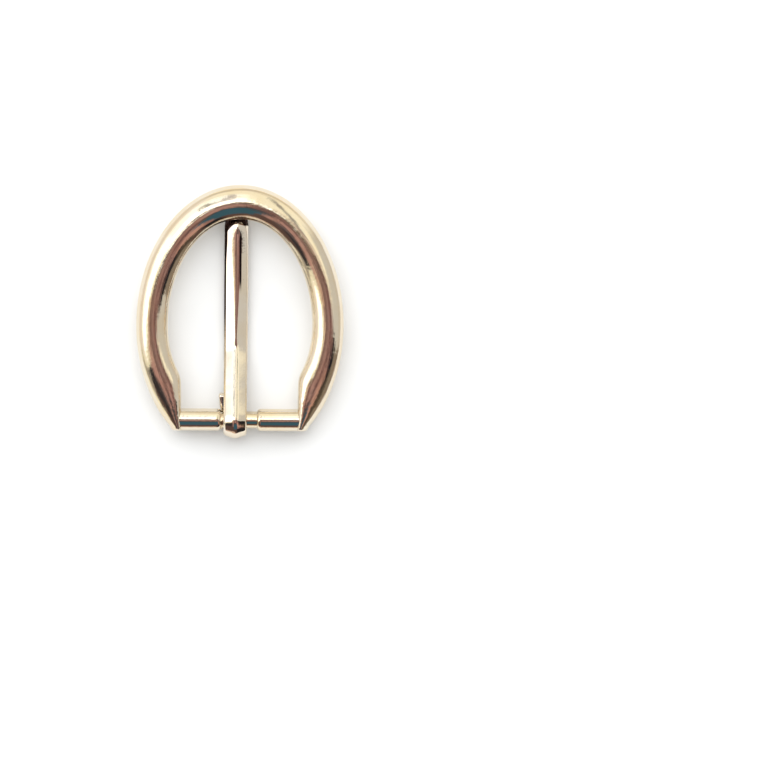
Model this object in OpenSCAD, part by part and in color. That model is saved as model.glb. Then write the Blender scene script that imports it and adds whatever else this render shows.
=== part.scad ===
// Single-bar shoe buckle: an oval cast frame with a straight bar, and a ridged tongue that
// turns on the bar's narrow neck. It lies face up with the tongue's tip tucked behind the arc,
// so the arc is propped a little higher than the bar.
// Units are millimetres. +X runs along the bar, +Y from the bar to the arc, +Z up.

/* [Frame outline] */
// Half width of the outer outline
outer_half_w = 10.58; // [10.2:0.02:11]
// Height of the widest place above the bar's axis
widest_y = 9.67; // [9.4:0.01:9.9]
// Rise of the outer outline from the widest place to the top of the arc
outer_rise = 14.29; // [13.9:0.01:14.6]
// Drop of the outer ellipse below the widest place, to its own lowest point
outer_drop = 13.83; // [13.5:0.01:14.2]
// Half width of the window
inner_half_w = 7.35; // [7.2:0.01:7.5]
// Rise of the window above the widest place
inner_rise = 10.78; // [10.6:0.01:10.9]
// Drop of the window's ellipse below the widest place, to its own lowest point
inner_drop = 9.19; // [9.0:0.01:9.4]
// Clear width between the straight inner walls, the widest strap
strap_w = 11.96; // [11.6:0.02:12.2]
// Distance of the frame's lower ends below the bar's axis
end_drop = 1.12; // [1.05:0.01:1.14]

/* [Frame section] */
// Thickness of the oval section
frame_t = 2.4; // [2.2:0.05:2.7]
// Thickness of the section at the lower ends
end_t = 1.9; // [1.7:0.05:2.1]
// How far the arc's outer edge curves back from the frame's plane
arc_dip = 0.5; // [0.3:0.05:0.6]
// How far the frame's middle plane lies in front of the bar's axis
bar_set_back = 0.36; // [0.3:0.02:0.4]
// Tilt of the frame, propped up by the tongue's tip
frame_tilt = 2.55; // [2.5:0.05:3]

/* [Bar] */
// Diameter of the bar
bar_d = 2.28; // [2.2:0.02:2.34]
// Diameter of the neck that the tongue turns on
neck_d = 1.72; // [1.6:0.02:1.76]
// Length of the neck
neck_len = 3.86; // [3.84:0.02:4]
// Chamfer of the bar's shoulders beside the neck
shoulder_chamfer = 0.2; // [0.1:0.05:0.25]
// Half length of the bar with its rounded ends, inside the frame
bar_half_len = 7.1; // [6.9:0.05:7.2]

/* [Tongue] */
// Radial play between the neck and the tongue's eye
eye_play = 0.05; // [0.03:0.01:0.08]
// Offset of the tongue along the bar
tongue_x = -0.43; // [-0.45:0.01:-0.3]
// Thickness of the strip where it passes under the bar
strip_t = 0.63; // [0.6:0.01:0.66]
// Thickness of the strip at its two edges
edge_t = 0.65; // [0.6:0.01:0.68]
// Thickness of the strip at its central ridge
ridge_t = 1.05; // [0.95:0.01:1.08]
// Width of the narrow flat along the ridge
ridge_w = 0.5; // [0.4:0.05:0.7]
// Lean of the strip's two side walls
side_lean = 0.07; // [0.04:0.01:0.1]
// Slope at which the blade leaves the eye
root_slope = 16.5; // [16:0.25:17]
// Slope of the bent tip
tip_slope = 19; // [18:0.5:20]
// Length of the flat under the tip, which the tongue rests on
foot_len = 0.95; // [0.8:0.05:1.1]
// Length of the point at the tip's end
nose_len = 0.62; // [0.5:0.02:0.7]
// Distance of the tip's end from the bar's axis
tongue_reach = 22.8; // [22.6:0.05:23]
// Distance of the crease before the bent tip from the bar's axis
crease_y = 19.3; // [19:0.05:19.5]

/* [Tail of the tongue's eye] */
// Distance of the tail's end from the bar's axis
tail_y = 2.83; // [2.5:0.01:2.9]
// Slope of the tail, which closes the eye
tail_slope = 12; // [10:0.5:14]
// Sideways shift of the strip where it passes under the bar
eye_skew = 0.15; // [0.05:0.01:0.16]
// Sideways shift of the strip at the tail's end
tail_skew = 0.52; // [0.4:0.02:0.54]

/* [Hidden] */
arc_steps = 18;
side_steps = 9;
wall_steps = 9;
end_steps = 3;
section_points = 20;
eye_steps = 15;
round_facets = 64;
end_round = 0.3;
bar_end_round = 0.6;
kink_outer_angle = 31;
gold = [0.85, 0.76, 0.58];

eye_r = neck_d / 2 + eye_play;
axis_z = eye_r + strip_t;
kink_angle = acos(strap_w / 2 / inner_half_w);
kink_y = widest_y - inner_drop * sin(kink_angle);
end_angle = asin((widest_y + end_drop - end_round) / outer_drop);
length_front = eye_r + ridge_t;
length_back = (widest_y + outer_rise) * cos(frame_tilt) + 0.01;
middle_y = (length_back - length_front) / 2;

// The arc curves back over its upper half by a parabola in y.
function dip(y) = y < widest_y ? 0 : -arc_dip * pow((y - widest_y) / outer_rise, 2);

// Stations of the right half from the top of the arc to the lower end.
// Each row is [outer x, outer y, inner x, inner y, thickness].
function arc_station(a) =
    [outer_half_w * sin(a), widest_y + outer_rise * cos(a),
     inner_half_w * sin(a), widest_y + inner_rise * cos(a), frame_t];
function side_station(part) =
    [outer_half_w * cos(kink_outer_angle * part),
     widest_y - outer_drop * sin(kink_outer_angle * part),
     inner_half_w * cos(kink_angle * part),
     widest_y - inner_drop * sin(kink_angle * part), frame_t];
function wall_station(part) =
    let (a = kink_outer_angle + (end_angle - kink_outer_angle) * part)
    [outer_half_w * cos(a), widest_y - outer_drop * sin(a),
     strap_w / 2, kink_y + (end_round - end_drop - kink_y) * part,
     frame_t + (end_t - frame_t) * part];
function end_station(a) =
    let (last = wall_station(1), inset = end_round * (1 - cos(a)), drop = end_round * sin(a))
    [last[0] - inset, last[1] - drop, last[2], last[3] - drop, end_t - 2 * inset];

half_ring = concat(
    [for (i = [0:arc_steps]) arc_station(90 * i / arc_steps)],
    [for (i = [1:side_steps]) side_station(i / side_steps)],
    [for (i = [1:wall_steps]) wall_station(i / wall_steps)],
    [for (i = [1:end_steps]) end_station(90 * i / end_steps)]
);

function mirrored(s) = [-s[0], s[1], -s[2], s[3], s[4]];
ring_stations = concat(
    [for (i = [len(half_ring) - 1:-1:1]) mirrored(half_ring[i])],
    half_ring
);

// An oval section stands between the inner and the outer point of a station.
function ring_section(s) = [
    for (k = [0:section_points - 1])
    let (
        a = 360 * k / section_points,
        x = (s[0] + s[2]) / 2 + (s[0] - s[2]) / 2 * cos(a),
        y = (s[1] + s[3]) / 2 + (s[1] - s[3]) / 2 * cos(a)
    )
    [x, y, s[4] / 2 * sin(a) + dip(y)]
];

// Joins equal closed sections into one solid with flat ends.
module loft(sections) {
    count = len(sections);
    sides = len(sections[0]);
    polyhedron(
        points = [for (s = sections) for (p = s) p],
        faces = concat(
            [[for (k = [0:sides - 1]) k]],
            [for (i = [0:count - 2]) for (k = [0:sides - 1])
                [i * sides + k, (i + 1) * sides + k, i * sides + (k + 1) % sides]],
            [for (i = [0:count - 2]) for (k = [0:sides - 1])
                [i * sides + (k + 1) % sides, (i + 1) * sides + k,
                 (i + 1) * sides + (k + 1) % sides]],
            [[for (k = [sides - 1:-1:0]) (count - 1) * sides + k]]
        )
    );
}

// Half of the bar's outline from the neck's middle to its rounded end, turned about X.
bar_outline = concat(
    [[0, 0], [0, neck_d / 2], [neck_len / 2, neck_d / 2],
     [neck_len / 2, bar_d / 2 - shoulder_chamfer],
     [neck_len / 2 + shoulder_chamfer, bar_d / 2]],
    [for (a = [0:18:90])
        [bar_half_len - bar_end_round * (1 - sin(a)),
         bar_d / 2 - bar_end_round * (1 - cos(a))]],
    [[bar_half_len, 0]]
);

module half_bar() {
    rotate([0, 90, 0])
        rotate_extrude($fn = round_facets)
            polygon([for (p = bar_outline) [p[1], p[0]]]);
}

// Frame
module frame() {
    color(gold)
        translate([0, -middle_y, axis_z])
            rotate([frame_tilt, 0, 0])
                union() {
                    translate([0, 0, bar_set_back])
                        loft([for (s = ring_stations) ring_section(s)]);
                    half_bar();
                    mirror([1, 0, 0]) half_bar();
                }
}

// Tongue stations are [y, z, lean of the section, x shift, half width,
// edge thickness, ridge thickness, depth cut below the underside].
// The lean is the angle from +Z of the line across the strip, towards +Y.
function fade(a) = a < 90 ? strip_t + (edge_t - strip_t) * pow(a / 90, 2) : edge_t;
function ridge_fade(a) = a < 90 ? strip_t + (ridge_t - strip_t) * pow(a / 90, 2) : ridge_t;
function skew(a) = a < 90 ? -eye_skew * (1 - a / 90) : 0;
tail_end = [tail_y, -eye_r * cos(tail_slope) + (tail_y - eye_r * sin(tail_slope)) * tan(tail_slope)];

tail_stations = [
    [tail_end[0], tail_end[1], 180 - tail_slope, -tail_skew, 1.12, strip_t - 0.08, strip_t - 0.08, 0],
    [tail_y / 2, (tail_end[1] - eye_r) / 2 - 0.04, 180 - tail_slope,
     -(tail_skew + eye_skew) / 2, 1.14, strip_t, strip_t, 0]
];

// The eye goes round the neck from under it, past the side away from the arc, to its top.
eye_turn = 180 + root_slope + tail_slope;
eye_stations = [
    for (i = [0:eye_steps])
    let (a = eye_turn * i / eye_steps - tail_slope, up = max(a, 0))
    [-eye_r * sin(a), -eye_r * cos(a), 180 + a, skew(up), 1.15,
     fade(up), ridge_fade(up), 0.08]
];

// Blade rows are [y at its end, slope of the underside before it, half width,
// edge thickness, ridge thickness].
blade_rows = [
    [eye_r * sin(root_slope), -root_slope, 1.15, edge_t, ridge_t],
    [0.8, -root_slope, 1.16, edge_t, ridge_t],
    [3.6, -root_slope, 1.19, edge_t, ridge_t],
    [6.9, -root_slope, 1.22, edge_t, ridge_t],
    [7.3, -0.5 * root_slope, 1.22, edge_t, ridge_t],
    [7.7, 0.8, 1.23, edge_t, ridge_t],
    [11.5, 1.8, 1.24, edge_t, ridge_t],
    [15.4, 3, 1.24, edge_t, ridge_t],
    [crease_y, 4.4, 1.22, edge_t, ridge_t],
    [crease_y + 0.3, -tip_slope, 1.18, edge_t, ridge_t],
    [tongue_reach - foot_len, -tip_slope, 1.11, edge_t, ridge_t],
    [tongue_reach, 0, 1.05, edge_t - foot_len * tan(tip_slope), ridge_t - foot_len * tan(tip_slope)]
];
last_row = len(blade_rows) - 1;

// Height of the underside at a row, added up from the eye.
function blade_z(i) = i == 0
    ? eye_r * cos(root_slope)
    : blade_z(i - 1) + (blade_rows[i][0] - blade_rows[i - 1][0]) * tan(blade_rows[i][1]);

// A section stands square to the blade, or halfway between the slopes on its two sides.
function blade_lean(i) = i == last_row ? 0 : -(blade_rows[i][1] + blade_rows[i + 1][1]) / 2;

blade_stations = [
    for (i = [1:last_row])
    [blade_rows[i][0], blade_z(i), blade_lean(i), 0, blade_rows[i][2],
     blade_rows[i][3], blade_rows[i][4], 0]
];

// The tongue turns on the bar until the tip's underside is level with the eye's.
seat_angle = asin(-axis_z / norm([tongue_reach, blade_z(last_row)]))
    - atan2(blade_z(last_row), tongue_reach);

// Across the strip: flat underside, leaning side walls, two slopes and a narrow ridge.
function strip_section(s) = [
    for (p = [
        [s[4], -s[7]], [-s[4], -s[7]], [side_lean - s[4], s[5]],
        [-ridge_w / 2, s[6]], [ridge_w / 2, s[6]], [s[4] - side_lean, s[5]]
    ])
    [s[3] + p[0],
     s[0] + p[1] * sin(s[2]),
     s[1] + p[1] * cos(s[2])]
];

strip_stations = concat(tail_stations, eye_stations, blade_stations);

// Two blocks that cut the tip's end to a point.
module nose_cuts() {
    half_tip_w = blade_rows[last_row][2];
    for (side = [0, 1])
        mirror([side, 0, 0])
            translate([0, tongue_reach, blade_z(last_row) - 1])
                rotate(-atan(nose_len / half_tip_w))
                    cube([3 * half_tip_w, 2 * nose_len, 3]);
}

// Tongue
module tongue() {
    color(gold)
        translate([tongue_x, -middle_y, axis_z])
            rotate([seat_angle, 0, 0])
                difference() {
                    loft([for (s = strip_stations) strip_section(s)]);
                    rotate([0, 90, 0])
                        rotate(90)
                            cylinder(r = eye_r, h = 4, center = true, $fn = round_facets);
                    nose_cuts();
                }
}

frame();
tongue();
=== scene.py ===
"""Pale gold shoe buckle, lying face up with the tongue's tip tucked behind the arc.

Every surface is worked out with numpy, in millimetres, and put in place in metres.
+X runs along the strap bar, +Y from the bar to the arc, +Z up.
"""
import math

import bpy
import numpy as np
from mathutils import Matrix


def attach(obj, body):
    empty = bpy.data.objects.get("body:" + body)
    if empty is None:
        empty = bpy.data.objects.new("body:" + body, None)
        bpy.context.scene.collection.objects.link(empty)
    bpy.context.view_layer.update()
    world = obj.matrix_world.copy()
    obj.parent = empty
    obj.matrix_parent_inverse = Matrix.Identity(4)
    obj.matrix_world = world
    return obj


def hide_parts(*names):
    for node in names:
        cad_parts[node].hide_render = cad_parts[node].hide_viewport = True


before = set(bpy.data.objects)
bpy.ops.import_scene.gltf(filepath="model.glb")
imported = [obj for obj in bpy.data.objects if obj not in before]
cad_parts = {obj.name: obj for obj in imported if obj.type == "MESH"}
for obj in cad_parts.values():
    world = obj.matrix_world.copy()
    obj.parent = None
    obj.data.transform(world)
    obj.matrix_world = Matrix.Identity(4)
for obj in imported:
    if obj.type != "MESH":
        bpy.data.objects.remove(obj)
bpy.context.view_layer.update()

MM = 0.001

# Frame outline, in millimetres from the bar's axis
OUTER_HALF_W = 10.58
WIDEST_Y = 9.67
OUTER_RISE = 14.29
OUTER_DROP = 13.83
INNER_HALF_W = 7.35
INNER_RISE = 10.78
INNER_DROP = 9.19
STRAP_W = 11.96
END_DROP = 1.12

# Frame section
FRAME_T = 2.4
END_T = 1.9
ARC_DIP = 0.5
BAR_SET_BACK = 0.3598
FRAME_TILT = math.radians(2.55)
KINK_OUTER_ANGLE = math.radians(31)
END_ROUND = 0.34
END_THINNING = 0.26
END_THINNING_LEN = 2.6
CREST_SHIFT = 0.4
CREST_SHIFT_Y = [-1.1, 0, 1, 2.4, 5, 8]
CREST_SHIFT_PART = [0.5, 0.7, 1, 0.7, 0.25, 0]

# Strap bar
BAR_R = 1.14
NECK_R = 0.86
NECK_LEFT = 1.91
NECK_RIGHT = 1.80
SHOULDER_LEN = 0.42
NECK_FLARE = 0.1
NECK_FLARE_LEN = 0.34
BAR_HALF_LEN = 7.1
BAR_END_ROUND = 0.6

# Tongue
EYE_R = 0.91
TONGUE_X = -0.43
STRIP_T = 0.63
EDGE_T = 0.65
RIDGE_T = 1.08
SIDE_LEAN = 0.02
LEFT_BEVEL = 0.2
RIGHT_BEVEL = 0.12
BEVEL_DROP = 0.09
RIDGE_DRIFT = 0.13
TOP_THINNING = 0.2
ROOT_SLOPE = math.radians(16.5)
TIP_SLOPE = math.radians(19)
TAIL_SLOPE = math.radians(12)
TAIL_Y = 2.68
BEND_Y = 7.15
CREASE_Y = 19.72
TONGUE_REACH = 22.8
FOOT_LEN = 0.95
NOSE_LEN = 0.62
EYE_SKEW = 0.15
TAIL_SKEW = 0.56
TAIL_END_ROUND = 0.42
# Along Y from the bar's axis, where the tongue's painted shade under the arc begins
ARC_SHADOW_Y = 20.08

# Colours of the metal
FRAME_TINT = (0.80, 0.715, 0.575)
TONGUE_TINT = (0.805, 0.73, 0.62)
# Colour of the painted shade and painted dark reflections on the tongue
PAINTED_SHADE_COLOUR = (0.025, 0.014, 0.013)

# Place in the buckle's frame
AXIS_Y = -10.9931
AXIS_Z = EYE_R + STRIP_T
LOWEST_Z = 0.004


# Mesh helpers

def smooth_step(x, low, high):
    """0 below low, 1 above high, and 3t squared minus 2t cubed between them."""
    t = np.clip((x - low) / (high - low), 0, 1)
    return t * t * (3 - 2 * t)


def turned_about_bar(points, angle):
    """Turns points (..., 3) about X, from bar coordinates into the buckle's frame."""
    x, y, z = points[..., 0], points[..., 1], points[..., 2]
    c, s = math.cos(angle), math.sin(angle)
    return np.stack([x, c * y - s * z + AXIS_Y, s * y + c * z + AXIS_Z], axis=-1)


def tube_mesh(name, rings):
    """Closed skin over rings (n, m, 3): quads between rings, and a fan to a pole at each end.

    The signed volume, a sixth of the sum of a . (b x c) over triangles, decides the winding.
    """
    n, m, _ = rings.shape
    start = np.arange((n - 1) * m).reshape(n - 1, m)
    beside = np.roll(start, -1, axis=1)
    quads = np.stack([start, beside, beside + m, start + m], axis=-1).reshape(-1, 4)
    edge = np.arange(m)
    first = np.stack([np.roll(edge, -1), edge, np.full(m, n * m)], axis=-1)
    last = (n - 1) * m
    second = np.stack([edge + last, np.roll(edge, -1) + last, np.full(m, n * m + 1)], axis=-1)
    verts = np.concatenate([rings.reshape(-1, 3), rings[[0, -1]].mean(axis=1)])
    tris = np.concatenate([quads[:, :3], quads[:, [0, 2, 3]], first, second])
    a, b, c = verts[tris[:, 0]], verts[tris[:, 1]], verts[tris[:, 2]]
    faces = quads.tolist() + first.tolist() + second.tolist()
    if np.einsum("ij,ij->i", a, np.cross(b, c)).sum() < 0:
        faces = [face[::-1] for face in faces]
    mesh = bpy.data.meshes.new(name)
    mesh.from_pydata((verts * MM).tolist(), [], faces)
    mesh.validate()
    mesh.polygons.foreach_set("use_smooth", np.ones(len(mesh.polygons), dtype=bool))
    return mesh


def new_piece(name, mesh):
    piece = bpy.data.objects.new(name, mesh)
    bpy.context.scene.collection.objects.link(piece)
    return piece


def joined_solid(name, first, second):
    """The union of two closed skins as one closed skin, by an exact Boolean."""
    whole = new_piece(name, first)
    tool = new_piece(name + "_tool", second)
    cut = whole.modifiers.new("union", "BOOLEAN")
    cut.operation = "UNION"
    cut.solver = "EXACT"
    cut.object = tool
    bpy.context.view_layer.update()
    done = bpy.data.meshes.new_from_object(
        whole.evaluated_get(bpy.context.evaluated_depsgraph_get()))
    whole.modifiers.clear()
    whole.data = done
    done.name = name
    bpy.data.objects.remove(tool)
    return whole


# Frame

def evened(rows, step):
    """Resamples rows (n, k) so that neighbours lie one step apart along their first two columns."""
    gaps = np.hypot(*np.diff(rows[:, :2], axis=0).T)
    along = np.concatenate([[0], np.cumsum(gaps)])
    wanted = np.linspace(0, along[-1], int(along[-1] / step) + 1)
    return np.stack([np.interp(wanted, along, column) for column in rows.T], axis=1)


def softened(rows, reach):
    """Each column averaged along the rows with bell weights; the ends are carried straight on."""
    k = np.arange(-3 * reach, 3 * reach + 1)
    weights = np.exp(-0.5 * (k / reach) ** 2)
    weights /= weights.sum()
    pad = 3 * reach
    before = 2 * rows[0] - rows[pad:0:-1]
    after = 2 * rows[-1] - rows[-2:-pad - 2:-1]
    long_rows = np.concatenate([before, rows, after])
    return np.stack([np.convolve(column, weights, "valid") for column in long_rows.T], axis=1)


def ring_stations():
    """Rows [outer x, outer y, inner x, inner y, thickness] from one lower end to the other.

    The outline is two half ellipses on the widest line. Inside, the lower ellipse stops at the
    strap's width and goes on as a straight wall, and a bell average softens that kink.
    """
    kink = math.acos(STRAP_W / 2 / INNER_HALF_W)
    kink_y = WIDEST_Y - INNER_DROP * math.sin(kink)
    end_angle = math.asin((WIDEST_Y + END_DROP - END_ROUND) / OUTER_DROP)
    a = np.linspace(0, math.pi / 2, 200)
    arc = np.stack([OUTER_HALF_W * np.sin(a), WIDEST_Y + OUTER_RISE * np.cos(a),
                    INNER_HALF_W * np.sin(a), WIDEST_Y + INNER_RISE * np.cos(a),
                    np.full_like(a, FRAME_T)], axis=1)
    part = np.linspace(0, 1, 100)[1:]
    outer, inner = KINK_OUTER_ANGLE * part, kink * part
    side = np.stack([OUTER_HALF_W * np.cos(outer), WIDEST_Y - OUTER_DROP * np.sin(outer),
                     INNER_HALF_W * np.cos(inner), WIDEST_Y - INNER_DROP * np.sin(inner),
                     np.full_like(part, FRAME_T)], axis=1)
    outer = KINK_OUTER_ANGLE + (end_angle - KINK_OUTER_ANGLE) * part
    wall = np.stack([OUTER_HALF_W * np.cos(outer), WIDEST_Y - OUTER_DROP * np.sin(outer),
                     np.full_like(part, STRAP_W / 2),
                     kink_y + (END_ROUND - END_DROP - kink_y) * part,
                     FRAME_T + (END_T - FRAME_T) * part], axis=1)
    half = np.concatenate([arc, side, wall])
    whole = np.concatenate([half[:0:-1] * [-1, 1, -1, 1, 1], half])
    whole = softened(evened(whole, 0.11), 4)
    near_end = np.clip(1 - (whole[:, 1] + END_DROP) / END_THINNING_LEN, 0, 1)
    whole[:, 4] *= 1 - END_THINNING * near_end ** 2
    turn = np.linspace(0, math.pi / 2, 9)[1:, None]
    inset, drop = END_ROUND * (1 - np.cos(turn)), END_ROUND * np.sin(turn)
    right = whole[-1] + inset * [-1, 0, 0, 0, -3] + drop * [0, -1, 0, -1, 0]
    left = whole[0] + inset * [1, 0, 0, 0, -3] + drop * [0, -1, 0, -1, 0]
    return np.concatenate([left[::-1], whole, right])


def ring_mesh():
    """An ellipse stands on each station between its inner and outer point.

    Its height is half the thickness times the sine, and above the widest line it is lowered by
    a parabola, so that the arc curves back. Towards the lower ends the ellipse is sheared: the
    crest moves to the inner wall by the shift times the sine, most at 1 mm above the bar.
    """
    rows = ring_stations()[:, None, :]
    a = np.linspace(0, 2 * math.pi, 88, endpoint=False)[None, :]
    shift = CREST_SHIFT * np.interp(rows[..., 1], CREST_SHIFT_Y, CREST_SHIFT_PART)
    width = np.hypot(rows[..., 0] - rows[..., 2], rows[..., 1] - rows[..., 3])
    across = np.cos(a) / 2 - shift / width * np.sin(a)
    x = (rows[..., 0] + rows[..., 2]) / 2 + (rows[..., 0] - rows[..., 2]) * across
    y = (rows[..., 1] + rows[..., 3]) / 2 + (rows[..., 1] - rows[..., 3]) * across
    dip = ARC_DIP * (np.clip(y - WIDEST_Y, 0, None) / OUTER_RISE) ** 2
    z = rows[..., 4] / 2 * np.sin(a) - dip + BAR_SET_BACK
    return tube_mesh("ring", turned_about_bar(np.stack([x, y, z], axis=-1), FRAME_TILT))


def bar_profile(neck_half_len, flare):
    """Half of the bar's outline as rows [x, radius], from the neck's middle to its round end.

    The neck flares by a falling square towards the shoulder, a quarter ellipse up to the bar.
    """
    corner = np.linspace(0, math.pi / 2, 9)
    neck_x = np.linspace(0, neck_half_len - 0.01, 60)
    to_shoulder = np.clip((neck_half_len - neck_x) / NECK_FLARE_LEN, 0, 1)
    neck = np.stack([neck_x, NECK_R + flare * (1 - to_shoulder) ** 2], axis=1)
    shoulder = np.stack([neck_half_len + SHOULDER_LEN * (1 - np.cos(corner)),
                         NECK_R + flare + (BAR_R - NECK_R - flare) * np.sin(corner)], axis=1)
    plain_x = np.linspace(neck_half_len + SHOULDER_LEN, BAR_HALF_LEN - BAR_END_ROUND, 64)[1:-1]
    plain = np.stack([plain_x, np.full_like(plain_x, BAR_R)], axis=1)
    end = np.stack([BAR_HALF_LEN - BAR_END_ROUND * (1 - np.sin(corner)),
                    BAR_R - BAR_END_ROUND * (1 - np.cos(corner))], axis=1)
    return np.concatenate([neck, shoulder, plain, end])


def bar_mesh():
    """The bar's outline turned about X."""
    left, right = bar_profile(NECK_LEFT, NECK_FLARE), bar_profile(NECK_RIGHT, 0)
    whole = np.concatenate([left[:0:-1] * [-1, 1], right])[:, None, :]
    a = np.linspace(0, 2 * math.pi, 96, endpoint=False)[None, :]
    y, z = whole[..., 1] * np.cos(a), whole[..., 1] * np.sin(a)
    points = np.stack([np.broadcast_to(whole[..., 0], y.shape), y, z], axis=-1)
    return tube_mesh("bar", turned_about_bar(points, 0))


# Tongue

def tongue_path():
    """Underside line of the strip as arrays: y, z, heading, and turn round the neck.

    The heading goes straight along the tail, falls evenly round the eye, holds the root slope
    to the bend, rises slowly to the crease and drops to the tip slope. A bell average softens
    it, and the line is its running sum. Turn is 0 under the neck and half a circle over it.
    """
    step = 0.03
    tail_start = TAIL_Y - TAIL_END_ROUND * math.cos(TAIL_SLOPE)
    tail_len = (tail_start - EYE_R * math.sin(TAIL_SLOPE)) / math.cos(TAIL_SLOPE)
    eye_turn = math.pi + TAIL_SLOPE + ROOT_SLOPE
    eye_len = EYE_R * eye_turn
    root_y = EYE_R * math.sin(ROOT_SLOPE)
    root_len = (BEND_Y - root_y) / math.cos(ROOT_SLOPE)
    blade_len = (CREASE_Y - BEND_Y) / math.cos(math.radians(3))
    tip_len = (TONGUE_REACH + 0.25 - CREASE_Y) / math.cos(TIP_SLOPE)
    marks = np.cumsum([0, tail_len, eye_len, root_len, 0, blade_len, 0, tip_len])
    tail_heading = math.pi + TAIL_SLOPE
    headings = np.array([tail_heading, tail_heading, -ROOT_SLOPE, -ROOT_SLOPE,
                         math.radians(1.0), math.radians(5.1), -TIP_SLOPE, -TIP_SLOPE])
    s = np.arange(0, marks[-1], step)
    marks[[4, 6]] += 1e-6
    heading = np.interp(s, marks, headings)
    eye, bend, crease = (softened(heading[:, None], reach)[:, 0] for reach in (5, 13, 3))
    heading = np.where(s < marks[3] - 2, eye, np.where(s < marks[5] - 1, bend, crease))
    y = tail_start + np.cumsum(np.cos(heading)) * step
    z = np.cumsum(np.sin(heading)) * step
    under = np.argmin(np.abs(s - tail_len - EYE_R * TAIL_SLOPE))
    turn = (s - s[under]) / EYE_R
    top = np.argmin(np.abs(turn - math.pi / 2))
    y += -EYE_R - y[top]
    z += -z[top]
    return y, z, heading, turn


def rounded_sections(corners, cuts, steps=8):
    """Rounds each corner (n, k, 2) of a closed outline by a parabola through its neighbours.

    The curve starts and ends a cut's length from the corner: (1-t)(1-t)A + 2t(1-t)C + ttB.
    """
    before = np.roll(corners, 1, axis=1) - corners
    after = np.roll(corners, -1, axis=1) - corners
    cuts = cuts[:, :, None]
    a = corners + before / np.linalg.norm(before, axis=2, keepdims=True) * cuts
    b = corners + after / np.linalg.norm(after, axis=2, keepdims=True) * cuts
    t = np.linspace(0, 1, steps)[None, None, :, None]
    a, b, c = a[:, :, None, :], b[:, :, None, :], corners[:, :, None, :]
    curve = (1 - t) ** 2 * a + 2 * t * (1 - t) * c + t ** 2 * b
    return curve.reshape(len(corners), -1, 2)


def tongue_mesh():
    """The strip's section carried along its underside line.

    A section has a flat underside, two side walls, a bevel along each upper edge and two slopes
    to a rounded ridge, which fades out where the strip goes under the bar. The strip is thinner
    over the neck. The underside is raised where it would pass the floor, so the tip stands on a
    flat foot, and a V limits how far each point reaches.
    """
    y, z, heading, turn = tongue_path()
    foot = np.argmin(np.abs(y - (TONGUE_REACH - FOOT_LEN)) + 9 * (turn < math.pi))
    seat = math.asin(-AXIS_Z / math.hypot(y[foot], z[foot])) - math.atan2(z[foot], y[foot])
    over_neck = smooth_step(turn, 0.45 * math.pi, math.pi) * (1 - smooth_step(y, 0.5, 6))
    thinning = TOP_THINNING * np.where(turn < 0.4 * math.pi, 0, over_neck)
    round_part = np.clip(turn / (math.pi / 2), 0, 1) ** 2
    edge = STRIP_T + (EDGE_T - STRIP_T) * round_part - thinning
    ridge = STRIP_T + 0.02 + (RIDGE_T - STRIP_T - 0.02) * round_part - thinning
    half_w = np.interp(y, [0, 7, 13, 19.7, 20.3, 21.85, 22.8],
                       [1.2, 1.22, 1.24, 1.22, 1.14, 1.05, 1.0])
    half_w = np.where(turn < math.pi, 1.2, half_w)
    tail_part = np.clip(y / TAIL_Y, 0, 1)
    skew = np.where(turn < 0, -EYE_SKEW - (TAIL_SKEW - EYE_SKEW) * tail_part ** 0.7,
                    -EYE_SKEW * np.clip(1 - turn / (math.pi / 2), 0, 1))
    floor_gap = AXIS_Z + math.sin(seat) * y + math.cos(seat) * z
    lift = np.where(turn > math.pi, np.clip(-floor_gap, 0, None) / np.cos(heading), 0)
    on_blade = turn > math.pi
    ridge_x = np.where(on_blade, RIDGE_DRIFT * smooth_step(y, 7, 17), 0)
    fall = (ridge - edge) / half_w
    bevel = (0.3 + 0.7 * round_part) * np.where(on_blade, 1 + 1.2 * smooth_step(y, 18.4, 20.2), 1)
    left_in, right_in = LEFT_BEVEL * bevel, RIGHT_BEVEL * bevel
    corners = np.stack([
        np.stack([half_w, lift], axis=1),
        np.stack([-half_w, lift], axis=1),
        np.stack([SIDE_LEAN - half_w, edge - BEVEL_DROP * bevel], axis=1),
        np.stack([SIDE_LEAN - half_w + left_in, edge + fall * left_in], axis=1),
        np.stack([ridge_x, ridge], axis=1),
        np.stack([half_w - SIDE_LEAN - right_in, edge + fall * right_in], axis=1),
        np.stack([half_w - SIDE_LEAN, edge - BEVEL_DROP * bevel], axis=1),
    ], axis=1)
    inner_cut = 0.1 + 0.2 * np.clip(-turn, 0, 1)
    ridge_cut = np.interp(y, [2, 6.8, 8.3, 12.2, 17, 18.4, 19.0, 19.5],
                          [0.45, 0.4, 0.17, 0.36, 0.64, 0.6, 0.42, 0.15])
    ridge_cut = np.where(on_blade, ridge_cut, 0.4)
    small_cut = 0.05 * np.minimum(bevel, 1)
    section = rounded_sections(corners, np.stack(
        [inner_cut, inner_cut, small_cut, small_cut, ridge_cut, small_cut, small_cut], axis=1))
    side, up = section[..., 0], section[..., 1]
    across = heading[:, None] + math.pi / 2
    points_y = y[:, None] + up * np.cos(across)
    points_z = z[:, None] + up * np.sin(across)
    reach = TONGUE_REACH - NOSE_LEN * (np.sqrt(side ** 2 + 0.03) - 0.17) / 1.06
    gap = points_y - reach
    points_y = (points_y + reach - np.sqrt(gap ** 2 + 0.006)) / 2
    rings = np.stack([side + skew[:, None] + TONGUE_X, points_y, points_z], axis=-1)
    rings = np.concatenate([end_cap(rings[0], rings[0] - rings[1])[::-1], rings])
    whole = turned_about_bar(rings, seat)
    whole[..., 2] = np.maximum(whole[..., 2], LOWEST_Z)
    return tube_mesh("tongue", whole)


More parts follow.
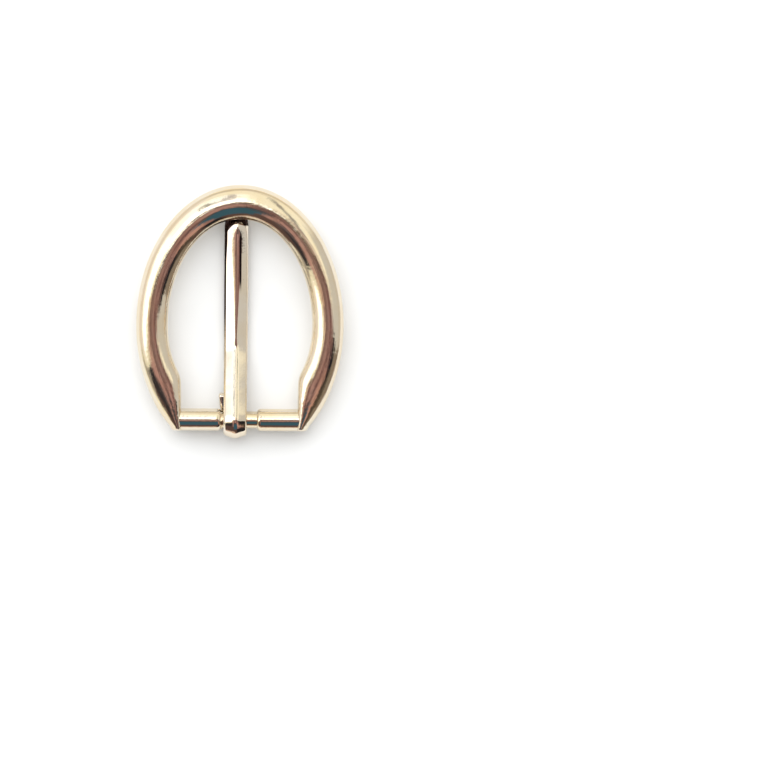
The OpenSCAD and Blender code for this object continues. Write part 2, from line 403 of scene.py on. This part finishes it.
def end_cap(ring, outward):
    """Rings that round off the tail's end on a quarter ellipse.

    They shrink to a fifth in height and by a sixth in width while they move outwards.
    """
    a = np.linspace(0, math.pi / 2, 12)[1:, None, None]
    direction = outward.mean(axis=0) / np.linalg.norm(outward.mean(axis=0))
    upward = np.array([0, -direction[2], direction[1]])
    from_middle = ring - ring.mean(axis=0)
    height = (from_middle @ upward)[:, None] * upward
    flat = from_middle - height
    shrink = 1 - np.cos(a)
    return (ring.mean(axis=0) + flat * (1 - 0.17 * shrink) + height * (1 - 0.8 * shrink)
            + direction * TAIL_END_ROUND * np.sin(a))


# Shader maths

class Value:
    """A node's number output. Python's operators on it add Math nodes to its tree."""

    def __init__(self, tree, socket):
        self.tree = tree
        self.socket = socket

    def maths(self, operation, *others):
        return self.tree.node("ShaderNodeMath", {"operation": operation}, [self, *others])[0]

    def __add__(self, other):
        return self.maths("ADD", other)

    def __sub__(self, other):
        return self.maths("SUBTRACT", other)

    def __mul__(self, other):
        return self.maths("MULTIPLY", other)

    def __truediv__(self, other):
        return self.maths("DIVIDE", other)

    def __pow__(self, other):
        return self.maths("POWER", other)

    def __rsub__(self, other):
        return self.tree.node("ShaderNodeMath", {"operation": "SUBTRACT"}, [other, self])[0]

    __radd__ = __add__
    __rmul__ = __mul__

    def __neg__(self):
        return self * -1

    def __abs__(self):
        return self.maths("ABSOLUTE")

    def ramp(self, low, high):
        """0 at low, 1 at high, with smooth ends. It falls where low is above high."""
        ends = {"From Min": min(low, high), "From Max": max(low, high)}
        rise = self.tree.node("ShaderNodeMapRange", {"interpolation_type": "SMOOTHSTEP"},
                              {"Value": self, **ends})[0]
        return rise if high > low else 1 - rise


class Tree:
    """A node tree that adds nodes by type, settings and socket values."""

    def __init__(self, nodes_of):
        nodes_of.use_nodes = True
        self.tree = nodes_of.node_tree
        self.tree.nodes.clear()

    def node(self, kind, settings=None, sockets=None):
        """Adds a node and returns its outputs. Sockets are a list in order, or go by name."""
        made = self.tree.nodes.new(kind)
        for name, value in (settings or {}).items():
            if name == "stops":
                for number, (place, colour) in enumerate(value):
                    stops = made.color_ramp.elements
                    stop = stops[number] if number < 2 else stops.new(place)
                    stop.position, stop.color = place, (*colour, 1)
            else:
                setattr(made, name, value)
        pairs = enumerate(sockets) if isinstance(sockets, list) else (sockets or {}).items()
        for key, value in pairs:
            if isinstance(value, Value):
                self.tree.links.new(value.socket, made.inputs[key])
            else:
                made.inputs[key].default_value = value
        return [Value(self, output) for output in made.outputs]

    def mix(self, amount, first, second):
        """Mixes two colours, each a tuple or an output."""
        colours = [(*c, 1) if isinstance(c, tuple) else c for c in (first, second)]
        outputs = self.node("ShaderNodeMix", {"data_type": "RGBA"},
                            {0: amount, 6: colours[0], 7: colours[1]})
        return outputs[2]

    def object_xyz(self):
        place = self.node("ShaderNodeTexCoord")[3]
        return place, self.node("ShaderNodeSeparateXYZ", None, [place])[:3]

    def noise(self, place, scale, detail=2.0, roughness=0.5):
        return self.node("ShaderNodeTexNoise", None, {
            "Vector": place, "Scale": scale, "Detail": detail, "Roughness": roughness})[0]


# Materials

def polished_gold(name, tint, ring_streaks):
    """Bright pale gold plate: wavy cast skin, hairline polish marks, tiny pits, warmer patches.

    The frame's streaks follow the ring, and are weaker on the bar. The tongue's run along it.
    Its colour also carries painted shade: a painted shadow where it goes under the arc, and
    painted dark reflections as a line along its left edge and a line along its ridge.
    """
    material = bpy.data.materials.new(name)
    tree = Tree(material)
    place, (x, y, z) = tree.object_xyz()
    if ring_streaks:
        mid_y = (AXIS_Y + WIDEST_Y) * MM
        across = ((x / (9 * MM)) ** 2 + ((y - mid_y) / (12.3 * MM)) ** 2) ** 0.5
        along = tree.node("ShaderNodeMath", {"operation": "ARCTAN2"}, [x, y - mid_y])[0]
        streak_place = tree.node("ShaderNodeCombineXYZ", None, [
            across * 90, along * 2.5, z / (0.1 * MM)])[0]
    else:
        streak_place = tree.node("ShaderNodeCombineXYZ", None, [
            x / (0.09 * MM), y / (3 * MM), z / (0.3 * MM)])[0]
    waves = tree.noise(place, 1 / (1.1 * MM), 2.0)
    grain = tree.noise(place, 1 / (0.22 * MM), 3.0)
    streaks = tree.noise(streak_place, 1.0, 3.0)
    pits = tree.node("ShaderNodeTexVoronoi", {"feature": "F1"}, {
        "Vector": place, "Scale": 1 / (0.55 * MM), "Randomness": 1.0})[0].ramp(0.0, 0.09)
    spots = tree.noise(place, 1 / (2.2 * MM), 1.0).ramp(0.56, 0.7)
    pit_depth = (1 - pits) * spots
    on_bar = abs(x / MM).ramp(6.1, 5.9) * (y / MM - AXIS_Y).ramp(1.6, 1.3)
    streak_height = streaks * (1 - on_bar * 0.8) * (1.1 if ring_streaks else 0.3)
    height = waves * 1.5 + grain * 0.35 + streak_height - pit_depth * 0.5
    bump = tree.node("ShaderNodeBump", None, {
        "Strength": 1.0, "Distance": 0.008 * MM, "Height": height})[0]
    worn = tree.noise(place, 1 / (3.5 * MM), 3.0)
    warm = tuple(c * f for c, f in zip(tint, (0.99, 0.95, 0.88)))
    colour = tree.mix(worn.ramp(0.35, 0.7), tint, warm)
    colour = tree.mix(pit_depth * 0.7, colour, tuple(c * 0.45 for c in tint))
    painted_shade_and_reflection = 0.0
    if not ring_streaks:
        blade_y = y / MM - AXIS_Y
        # Painted shade: the tongue's colour is painted dark where it goes under the arc
        arc_shadow = (blade_y + (x / MM).ramp(0.1, 0.35) * 0.3).ramp(ARC_SHADOW_Y - 0.08,
                                                                ARC_SHADOW_Y + 0.08)
        arc_shadow = arc_shadow * (z / MM).ramp(0.95, 1.05) * blade_y.ramp(21.4, 20.7)
        # Painted dark reflections: a dark line along the tongue's left edge and one along its ridge
        line_x = blade_y.ramp(15.5, 18.5) * 0.12 + blade_y.ramp(19.1, 20.3) * 0.85 - 1.45
        left_edge_reflection = (x / MM - line_x).ramp(0.05, -0.05) * blade_y.ramp(6, 12)
        left_edge_reflection = left_edge_reflection * blade_y.ramp(21.4, 20.7) * (x / MM).ramp(-1.665, -1.635)
        ridge_reflection = (x / MM).ramp(-0.13, -0.07) * (x / MM).ramp(0.13, 0.09)
        ridge_reflection = ridge_reflection * blade_y.ramp(19.1, 18.6) * blade_y.ramp(12.8, 14.4)
        lines = left_edge_reflection + ridge_reflection
        # All painted shade and painted reflections together; they darken the colour and raise the
        # roughness
        painted_shade_and_reflection = arc_shadow + lines * (1 - arc_shadow)
        colour = tree.mix(painted_shade_and_reflection * (0.95 + 0.2 * streaks), colour, PAINTED_SHADE_COLOUR)
    roughness = 0.055 + streaks.ramp(0.45, 0.75) * 0.05 + pit_depth * 0.3 + painted_shade_and_reflection * 0.15
    shader = tree.node("ShaderNodeBsdfPrincipled", None, {
        "Base Color": colour, "Metallic": 1.0, "Roughness": roughness, "Normal": bump})[0]
    tree.node("ShaderNodeOutputMaterial", None, [shader])
    return material


def paper():
    """Plain white paper, a little uneven."""
    material = bpy.data.materials.new("paper")
    tree = Tree(material)
    place, (x, y, z) = tree.object_xyz()
    mottle = tree.noise(place, 1 / (6 * MM), 2.0)
    colour = tree.mix(mottle.ramp(0.3, 0.7), (0.87, 0.875, 0.875), (0.89, 0.895, 0.895))
    shader = tree.node("ShaderNodeBsdfPrincipled", None, {
        "Base Color": colour, "Roughness": 0.9, "Specular IOR Level": 0.1})[0]
    tree.node("ShaderNodeOutputMaterial", None, [shader])
    return material


# Studio

def opening_edge(tree, side):
    """Where the opening starts, as a fore angle for each side angle, by straight pieces.

    A colour ramp holds the points: side -90 to 90 and fore -10 to 90 are scaled to 0 and 1.
    """
    points = [(-90, 75), (90, 75), (-66, 44), (-54, 34), (-42, 22), (-34, 17), (-28, 10),
              (-19, 1), (-6, -2.5), (6, -4), (17, -4.5), (26, 5), (42, 9.5), (54, 21), (66, 32)]
    stops = [((s + 90) / 180, ((f + 10) / 100,) * 3) for s, f in points]
    return tree.node("ShaderNodeValToRGB", {"stops": stops}, [(side + 90) / 180])[0] * 100 - 10


def studio_world():
    """A pale tent, brightest to the left and behind, with a dark opening towards the viewer.

    Side is the angle to the right of the upright plane through Y, and fore the angle from the
    zenith towards -Y. The bands of colour in the opening and the lines on the walls are laid
    out in those two angles. Only mirror rays see all this: other rays see a plain light, bright
    from behind, and the camera sees one plain colour.
    """
    world = bpy.data.worlds.new("studio")
    bpy.context.scene.world = world
    tree = Tree(world)
    direction = tree.node("ShaderNodeTexCoord")[0]
    x, y, z = tree.node("ShaderNodeSeparateXYZ", None, [direction])[:3]
    degree = 180 / math.pi
    side = x.maths("ARCSINE") * degree
    fore = tree.node("ShaderNodeMath", {"operation": "ARCTAN2"}, [-y, z])[0] * degree
    off_zenith = z.maths("ARCCOSINE") * degree
    east_turn = tree.node("ShaderNodeMath", {"operation": "ARCTAN2"}, [x, y])[0] * degree
    from_edge = fore - opening_edge(tree, side)

    side_wall = (0.72, 0.705, 0.675)
    cream = (1.18, 1.14, 0.95)
    dull_cream = (1.02, 0.97, 0.76)
    low_wall = (1.05, 0.99, 0.93)
    lamp = (2.5, 2.5, 2.5)
    pale = (1.55, 1.6, 1.6)
    peach = (0.80, 0.61, 0.46)
    rose = (0.54, 0.31, 0.28)
    dusk = (0.36, 0.20, 0.19)
    salmon = (0.62, 0.36, 0.30)
    slate = (0.085, 0.078, 0.088)
    teal = (0.047, 0.125, 0.19)
    black = (0.022, 0.021, 0.026)
    umber = (0.12, 0.075, 0.068)
    olive = (0.10, 0.077, 0.06)
    clay = (0.29, 0.24, 0.20)
    pale_clay = (0.46, 0.41, 0.35)
    tan = (0.80, 0.60, 0.50)
    seen_colour = (0.93, 0.925, 0.915)
    seam_grey = (0.30, 0.28, 0.28)
    fold_grey = (0.66, 0.63, 0.66)
    cord_grey = (0.24, 0.24, 0.19)
    floor_tan = (0.66, 0.56, 0.46)
    fringe_pink = (0.56, 0.39, 0.35)
    dark_stripe = (0.10, 0.06, 0.065)
    light_stripe = (0.68, 0.43, 0.39)
    warm_grey = (0.135, 0.12, 0.115)
    edge_brown = (0.10, 0.085, 0.06)
    far_left_black = (0.045, 0.038, 0.042)
    front_light = (0.74, 0.74, 0.73)
    back_light = (2.4, 2.4, 2.4)

    cream_reach = off_zenith.ramp(46, 30) * 38
    cream_part = (east_turn - cream_reach).ramp(58, 42) * east_turn.ramp(-176, -150)
    colour = tree.mix(cream_part, side_wall, cream)
    back_and_left = east_turn.ramp(10, -6) * east_turn.ramp(-170, -150)
    colour = tree.mix(back_and_left, colour, lamp)
    stripe_place = tree.node("ShaderNodeCombineXYZ", None, [side * 0.1, fore * 0.02, 0.0])[0]
    stripes = tree.noise(stripe_place, 1.0, 2.0, 0.6)
    back = east_turn.ramp(-64, -54) * east_turn.ramp(10, -6) * off_zenith.ramp(20, 28)
    creamy = stripes.ramp(0.45, 0.56) * east_turn.ramp(-36, -20)
    colour = tree.mix(back, colour, tree.mix(creamy, pale, cream))
    colour = tree.mix(off_zenith.ramp(44, 62) * east_turn.ramp(60, 12), colour, low_wall)
    north = east_turn.ramp(-36, -16) * east_turn.ramp(60, 35)
    colour = tree.mix(off_zenith.ramp(36, 50) * north, colour, cream)
    seam_side = (5.2 - fore * 0.56).maths("MINIMUM", 15.5 - fore * 0.07)
    seam = abs(side - seam_side).ramp(4, 0.8) * fore.ramp(-66, -45)
    colour = tree.mix(seam * 0.9, colour, seam_grey)
    fold = abs(side + 4.8).ramp(3.6, 1.8) * fore.ramp(-50, -38) * fore.ramp(-12, -18)
    colour = tree.mix(fold * 0.9, colour, fold_grey)
    cord = abs(side + 8 - (fore + 18) * 0.64).ramp(3, 1.5)
    cord = cord * fore.ramp(-36, -30) * fore.ramp(-14, -20)
    colour = tree.mix(cord * 0.85, colour, cord_grey)
    skirting = off_zenith.ramp(62, 72) * off_zenith.ramp(84, 78)
    colour = tree.mix(skirting * (0.3 + 0.5 * north), colour, floor_tan)
    colour = tree.mix(from_edge.ramp(-11, -5) * side.ramp(-8, -14), colour, dull_cream)
    fringe = from_edge.ramp(-11, -2) * side.ramp(1, 6) * side.ramp(30, 22)
    colour = tree.mix(fringe * 0.9, colour, fringe_pink)

    inside = tree.mix(side.ramp(-12, 4), rose, dusk)
    inside = tree.mix(side.ramp(-12, -19) * fore.ramp(14, 4), inside, peach)
    dark_part = stripes.ramp(0.5, 0.57) * side.ramp(-19, -11) * 0.8
    inside = tree.mix(dark_part, inside, dark_stripe)
    inside = tree.mix(stripes.ramp(0.47, 0.40) * 0.45, inside, light_stripe)
    grey_fold = side.ramp(-16, -12) * side.ramp(8, 4) * fore.ramp(10, 4)
    inside = tree.mix(grey_fold * 0.4, inside, warm_grey)
    outline = from_edge.ramp(4, 2) * side.ramp(14, 8) * side.ramp(-14, -8)
    inside = tree.mix(outline * 0.85, inside, edge_brown)
    slate_band = side.ramp(-16, -11) * side.ramp(17, 12) * fore.ramp(14, 19)
    inside = tree.mix(slate_band, inside, slate)
    teal_band = side.ramp(-16, -11) * side.ramp(24, 21) * (fore + side * 0.12).ramp(23, 27)
    inside = tree.mix(teal_band, inside, teal)
    left_dark = side.ramp(-17, -25) * fore.ramp(17, 21)
    inside = tree.mix(left_dark * 0.9, inside, slate)
    inside = tree.mix(side.ramp(-27, -34) * fore.ramp(15, 20), inside, far_left_black)
    inside = tree.mix(side.ramp(-10, -15) * fore.ramp(38, 46), inside, umber)
    right_dark = side.ramp(33, 37) + side.ramp(22, 26) * fore.ramp(17, 13) * 0.55
    inside = tree.mix(right_dark, inside, tree.mix(fore.ramp(24, 36), black, olive))
    salmon_band = abs(side - 29 - (fore - 28) * 0.15).ramp(6.5, 4)
    salmon_band = salmon_band * fore.ramp(16, 22) * fore.ramp(54, 42)
    inside = tree.mix(salmon_band * 0.9, inside, salmon)
    inside = tree.mix(fore.ramp(54, 61), inside, umber)
    inside = tree.mix(fore.ramp(56, 62) * side.ramp(12, 22) * side.ramp(38, 34), inside, black)
    inside = tree.mix(side.ramp(48, 52), inside, clay)
    table_edge = fore - side.ramp(-10, 20) * 20 - side.ramp(-20, -30) * 6
    inside = tree.mix(table_edge.ramp(69, 80), inside, tan)
    far_left = tree.mix(fore.ramp(62, 76), pale_clay, cream)
    inside = tree.mix(side.ramp(-50, -55), inside, far_left)
    colour = tree.mix(from_edge.ramp(-1.2, 1.2) * off_zenith.ramp(91, 87), colour, inside)

    ray = tree.node("ShaderNodeLightPath")
    by_camera, by_mirror = ray[0], ray[3]
    from_behind = abs(east_turn + 15).ramp(80, 50)
    room_light = tree.mix(from_behind, front_light, back_light)
    colour = tree.mix(by_mirror, room_light, colour)
    colour = tree.mix(by_camera, colour, seen_colour)
    background = tree.node("ShaderNodeBackground", None, {"Color": colour, "Strength": 1.0})[0]
    tree.node("ShaderNodeOutputWorld", None, [background])


def studio_floor():
    """One large square of paper, level with the buckle's foot."""
    half = 3000.0
    corners = np.array([[-half, -half, 0], [half, -half, 0], [half, half, 0], [-half, half, 0]])
    mesh = bpy.data.meshes.new("floor")
    mesh.from_pydata((corners * MM).tolist(), [], [[0, 1, 2, 3]])
    floor = new_piece("floor", mesh)
    mesh.materials.append(paper())


def studio_camera():
    """Straight overhead, with the bar's middle at one pixel and the picture's scale and turn."""
    pixel = 0.1021
    bar_px, bar_py = 239.6, 419.7
    picture = 768
    turn = math.radians(0.4)
    distance = 1000.0
    right = (picture / 2 - bar_px) * pixel
    up = (bar_py - picture / 2) * pixel
    x = right * math.cos(turn) - up * math.sin(turn)
    y = right * math.sin(turn) + up * math.cos(turn) + AXIS_Y
    data = bpy.data.cameras.new("camera")
    data.sensor_width = 36
    data.lens = data.sensor_width * distance / (picture * pixel)
    data.clip_start, data.clip_end = 0.01, 10
    camera = bpy.data.objects.new("camera", data)
    camera.location = (x * MM, y * MM, distance * MM)
    camera.rotation_euler = (0, 0, turn)
    bpy.context.scene.collection.objects.link(camera)
    bpy.context.scene.camera = camera


bpy.context.scene.view_settings.view_transform = "Standard"
studio_world()
studio_floor()
studio_camera()

buckle_frame = joined_solid("buckle_frame", ring_mesh(), bar_mesh())
buckle_frame.data.set_sharp_from_angle(angle=math.radians(28))
buckle_frame.data.materials.clear()
buckle_frame.data.materials.append(polished_gold("frame_gold", FRAME_TINT, True))
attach(buckle_frame, "frame")
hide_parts("frame")

tongue = new_piece("buckle_tongue", tongue_mesh())
tongue.data.materials.append(polished_gold("tongue_gold", TONGUE_TINT, False))
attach(tongue, "tongue")
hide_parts("tongue")
